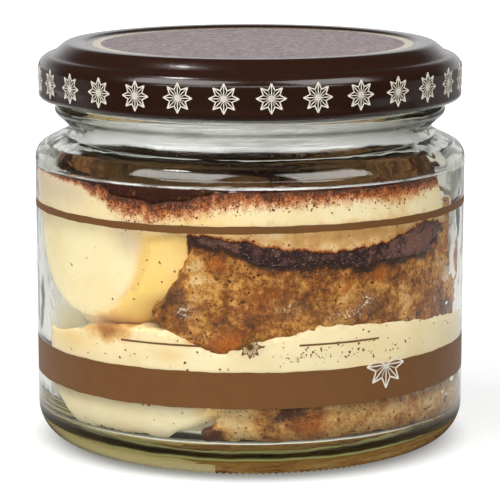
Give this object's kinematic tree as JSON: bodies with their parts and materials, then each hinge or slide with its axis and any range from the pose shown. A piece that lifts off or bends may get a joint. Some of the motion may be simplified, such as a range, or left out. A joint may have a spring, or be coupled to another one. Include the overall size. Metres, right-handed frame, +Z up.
{
  "type": "tiramisu",
  "caption": "Layered tiramisu of coffee-soaked sponge, piped cream and cocoa in a squat clear glass jar with a pressed metal twist-off lid.",
  "frame": {"origin": "middle of the jar's foot, on the surface it stands on", "axes": "+Z up along the jar's axis, -Y towards the front of the jar"},
  "size_m": [0.074, 0.074, 0.0685],
  "materials": {
    "clear_glass": "clear, smooth, faint olive in its thick parts",
    "lid_lacquer": "glossy dark brown lacquer printed with a row of cream stars",
    "soaked_sponge": "porous, moist, mottled from straw to coffee brown",
    "cream": "smooth, moist, soft sheen",
    "cocoa": "matt powder"
  },
  "bodies": {
    "root": {"jar": "clear_glass", "lid": "lid_lacquer", "lower_sponge": "soaked_sponge", "lower_cream": "cream", "upper_sponge": "soaked_sponge", "inner_cocoa": "cocoa", "upper_cream": "cream", "top_cocoa": "cocoa"}
  },
  "joints": []
}
